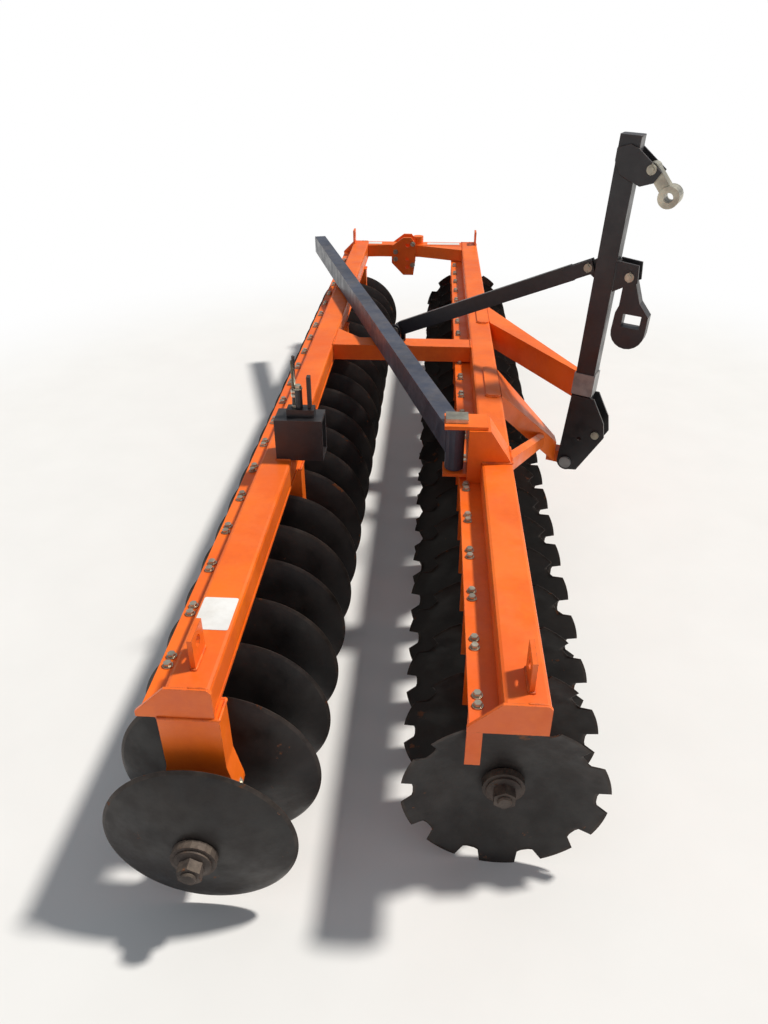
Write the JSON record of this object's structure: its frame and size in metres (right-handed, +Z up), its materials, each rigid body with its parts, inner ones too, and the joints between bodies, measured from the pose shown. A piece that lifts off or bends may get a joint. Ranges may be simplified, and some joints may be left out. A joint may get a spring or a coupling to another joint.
{
  "type": "disc harrow",
  "caption": "Towed disc harrow with notched front discs and plain rear discs on two turning gangs, a folding drawbar with hitch eye, and a swing bar that sets the opening.",
  "frame": {"origin": "middle of the footprint, on the ground under the discs", "axes": "+X forward, the side the drawbar is on; +Y along the gangs to the end with the bolted crossbar; +Z up"},
  "size_m": [1.7579, 4.7156, 1.6919],
  "materials": {
    "orange": "sprayed enamel",
    "black": "sprayed enamel",
    "blue_black": "sprayed enamel",
    "disc": "thin oven-dried coat on spring steel",
    "cast": "as cast",
    "bare_steel": "machined, dull",
    "zinc": "zinc plated"
  },
  "bodies": {
    "frame": {"brace_post": "black", "clamp_screw": "black", "clamp_sleeve": "black", "coupling_plate_far": "orange", "coupling_plate_near": "orange", "far_arm": "orange", "front_beam": "orange", "front_crossbar_half": "orange", "front_hanger_1": "orange", "front_hanger_2": "orange", "front_hanger_3": "orange", "front_hanger_4": "orange", "front_lug_far": "orange", "front_lug_near": "orange", "front_scraper_rail": "orange", "middle_crossbar": "orange", "near_arm": "orange", "pivot_pin": "bare_steel", "rear_beam": "orange", "rear_crossbar_half": "orange", "rear_hanger_1": "orange", "rear_hanger_2": "orange", "rear_hanger_3": "orange", "rear_hanger_4": "orange", "rear_lug_far": "orange", "rear_lug_near": "orange", "rear_scraper_rail": "orange", "swing_bracket": "orange", "swing_pin": "zinc"},
    "front_gang": {"front_discs": "disc", "front_axle": "cast"},
    "rear_gang": {"rear_discs": "disc", "rear_axle": "cast"},
    "drawbar": {"drawbar_tube": "black", "drawbar_cheek_near": "black", "drawbar_cheek_far": "black", "lock_bolt": "zinc", "drawbar_collar": "bare_steel", "hitch_plate_near": "black", "hitch_plate_far": "black", "stand_bracket": "black"},
    "hitch_tongue": {"hitch_tongue": "zinc", "hitch_pin": "zinc"},
    "stand": {"stand_foot": "black", "stand_pin": "zinc"},
    "brace": {"brace_bar": "black", "brace_pin": "zinc"},
    "swing_bar": {"swing_bar": "blue_black"}
  },
  "joints": [
    {"name": "front_gang_turn", "type": "hinge", "parent": "frame", "child": "front_gang", "pos_m": [0.17477, 0.1195, 0.28], "axis": [0, 1, 0], "continuous": true},
    {"name": "rear_gang_turn", "type": "hinge", "parent": "frame", "child": "rear_gang", "pos_m": [-0.60123, 0.1195, 0.28], "axis": [0, 1, 0], "continuous": true},
    {"name": "drawbar_fold", "type": "hinge", "parent": "frame", "child": "drawbar", "pos_m": [0.5997, -0.17778, 0.322], "axis": [0.4067, 0.9135, 0], "range_deg": [0, 80]},
    {"name": "brace_lift", "type": "hinge", "parent": "frame", "child": "brace", "pos_m": [-0.22523, 0.1895, 0.8], "axis": [-0.4067, -0.9135, 0], "range_deg": [0, 60]},
    {"name": "stand_drop", "type": "hinge", "parent": "drawbar", "child": "stand", "pos_m": [0.73651, -0.23869, 1.18429], "axis": [-0.4067, -0.9135, 0], "range_deg": [0, 90]},
    {"name": "tongue_tilt", "type": "hinge", "parent": "drawbar", "child": "hitch_tongue", "pos_m": [0.75245, -0.24579, 1.58391], "axis": [0.4067, 0.9135, 0], "range_deg": [-30, 40]},
    {"name": "swing_bar_swing", "type": "hinge", "parent": "frame", "child": "swing_bar", "pos_m": [0.03477, -0.9805, 0.79], "axis": [0, 0, 1], "range_deg": [0, 58]}
  ]
}
